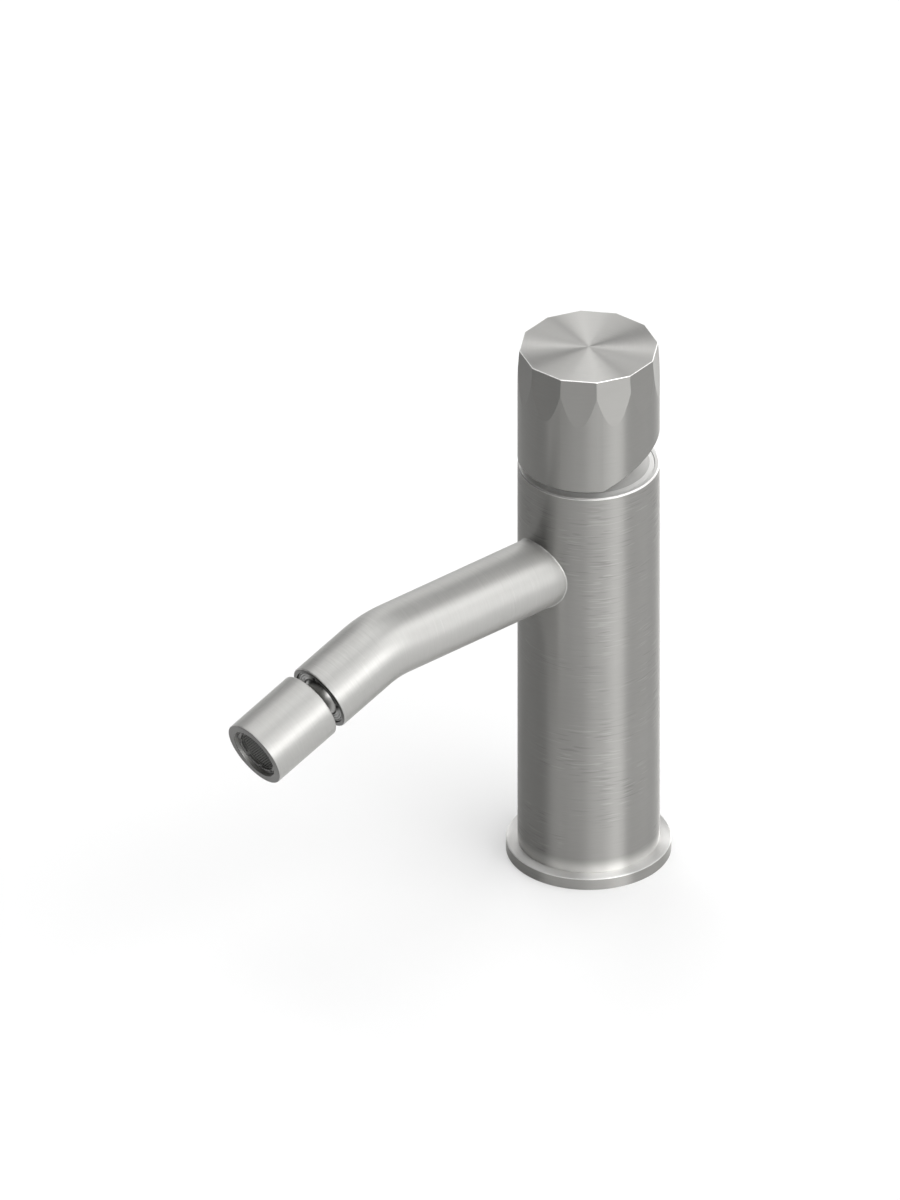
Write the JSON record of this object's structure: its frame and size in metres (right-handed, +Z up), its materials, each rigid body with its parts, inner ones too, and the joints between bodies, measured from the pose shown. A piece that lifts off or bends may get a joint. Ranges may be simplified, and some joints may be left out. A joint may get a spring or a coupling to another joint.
{
  "type": "deck mounted mixer",
  "caption": "Deck mounted single-lever mixer: round brushed steel column, faceted tilt-and-turn knob, bent tube spout and swivelling outlet barrel.",
  "frame": {"origin": "centre of the foot's underside, on the column's axis, in the deck's plane", "axes": "+Z up along the column, -Y along the spout, +X to the right of someone who looks along +Y"},
  "size_m": [0.05, 0.1631, 0.1771],
  "materials": {
    "steel_brushed": "fine circumferential brushing",
    "steel_turned": "fine turned",
    "steel_dark": "dark steel",
    "chrome_bright": "polished",
    "brass_core": "machined",
    "alloy_grey": "cast",
    "rubber_black": "matt",
    "plastic_white": "moulded",
    "plastic_dark": "moulded",
    "plastic_grey": "moulded",
    "ceramic_white": "lapped"
  },
  "bodies": {
    "body": {"base_flange": "steel_brushed", "base_seal": "rubber_black", "column_shell": "steel_brushed", "valve_core": "brass_core", "spout_tube": "steel_brushed", "spout_seal": "rubber_black", "cartridge_base": "plastic_white", "port_seals": "rubber_black", "disc_gasket": "rubber_black", "fixed_disc": "ceramic_white", "cartridge_housing": "plastic_white", "cartridge_nut": "brass_core", "cover_cap": "steel_turned", "cap_ring": "rubber_black", "swivel_seat": "brass_core", "swivel_nut": "chrome_bright"},
    "rotor": {"rotor": "plastic_dark", "pivot_pin": "chrome_bright"},
    "disc": {"moving_disc": "ceramic_white", "disc_carrier": "plastic_dark"},
    "knob": {"stem": "chrome_bright", "knob_insert": "alloy_grey", "grub_screw": "steel_dark", "knob_shell": "steel_turned"},
    "swivel": {"glide_ring": "plastic_white", "ball_seal": "rubber_black"},
    "outlet": {"ball_stud": "chrome_bright", "outlet_barrel": "steel_brushed", "inlet_strainer": "plastic_white", "outlet_gasket": "rubber_black", "jet_plate": "plastic_dark", "aerator_housing": "plastic_grey", "outlet_screen": "steel_dark"}
  },
  "joints": [
    {"name": "temperature", "type": "hinge", "parent": "body", "child": "rotor", "pos_m": [0, 0, 0.1231], "axis": [0, 0, 1], "range_deg": [-15.3, 84.7]},
    {"name": "flow", "type": "hinge", "parent": "rotor", "child": "knob", "pos_m": [0, 0, 0.1231], "axis": [-0.8221, 0.5693, 0], "range_deg": [0, 22]},
    {"name": "disc_slide", "type": "slide", "parent": "rotor", "child": "disc", "axis": [-0.5693, -0.8221, 0], "range_m": [0, 0.0026]},
    {"name": "outlet_spin", "type": "hinge", "parent": "body", "child": "swivel", "pos_m": [0, -0.10477, 0.09778], "axis": [0, -0.9397, -0.342], "continuous": true},
    {"name": "outlet_tilt", "type": "hinge", "parent": "swivel", "child": "outlet", "pos_m": [0, -0.10477, 0.09778], "axis": [1, 0, 0], "range_deg": [-15, 15]}
  ],
  "couplings": [
    {"joint": "disc_slide", "follows": "flow", "m_per_rad": 0.0065854}
  ]
}
